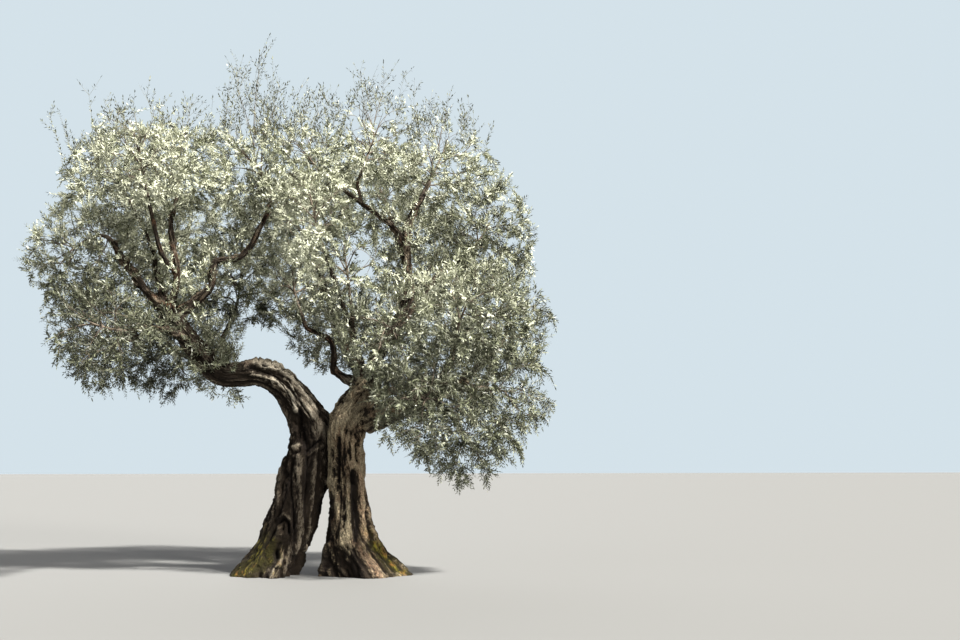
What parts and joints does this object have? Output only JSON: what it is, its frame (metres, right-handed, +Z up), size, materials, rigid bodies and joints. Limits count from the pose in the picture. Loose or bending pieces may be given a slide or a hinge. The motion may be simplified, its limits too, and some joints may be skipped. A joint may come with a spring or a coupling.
{
  "type": "old olive tree",
  "caption": "Old olive tree on leaning split stems, with an arching limb, upright boughs and a wide airy crown of grey-green leaves, cut flat at ground level.",
  "frame": {"origin": "on the flat cut under the left stem, at ground level", "axes": "+Z straight up, +X to the viewer's right in the picture's view, +Y away from the viewer"},
  "size_m": [6.9655, 4.4668, 7.1965],
  "materials": {
    "stem_bark": "rough furrowed bark",
    "bough_bark": "rough bark",
    "leaves": "matt grey-green leaves"
  },
  "bodies": {
    "root": {"bough_arch_back": "bough_bark", "bough_centre_back": "bough_bark", "bough_centre_front": "bough_bark", "bough_centre_up": "bough_bark", "bough_front": "bough_bark", "bough_high_back": "bough_bark", "bough_high_left": "bough_bark", "bough_high_middle": "bough_bark", "bough_inner_back": "bough_bark", "bough_left_back": "bough_bark", "bough_left_front": "bough_bark", "bough_left_inner": "bough_bark", "bough_left_low": "bough_bark", "bough_left_low_front": "bough_bark", "bough_left_middle": "bough_bark", "bough_left_outer": "bough_bark", "bough_left_upper": "bough_bark", "bough_low_back": "bough_bark", "bough_low_centre_back": "bough_bark", "bough_low_far": "bough_bark", "bough_low_front": "bough_bark", "bough_low_hanging": "bough_bark", "bough_low_rising": "bough_bark", "bough_right_back": "bough_bark", "bough_right_high": "bough_bark", "bough_right_low": "bough_bark", "bough_right_out": "bough_bark", "bough_upper_front": "bough_bark", "foliage_arch_back": "leaves", "foliage_centre": "leaves", "foliage_centre_back": "leaves", "foliage_centre_front": "leaves", "foliage_centre_top": "leaves", "foliage_front": "leaves", "foliage_inner_back": "leaves", "foliage_left_back": "leaves", "foliage_left_front": "leaves", "foliage_left_inner": "leaves", "foliage_left_low": "leaves", "foliage_left_low_front": "leaves", "foliage_left_middle": "leaves", "foliage_left_outer": "leaves", "foliage_left_upper": "leaves", "foliage_low_back": "leaves", "foliage_low_centre_back": "leaves", "foliage_low_front": "leaves", "foliage_low_hanging": "leaves", "foliage_low_right": "leaves", "foliage_low_rising": "leaves", "foliage_right_back": "leaves", "foliage_right_far": "leaves", "foliage_right_outer": "leaves", "foliage_right_top": "leaves", "foliage_top": "leaves", "foliage_top_back": "leaves", "foliage_upper_front": "leaves", "left_arch": "bough_bark", "left_rise": "bough_bark", "stem_left": "stem_bark", "stem_right": "stem_bark"}
  },
  "joints": []
}
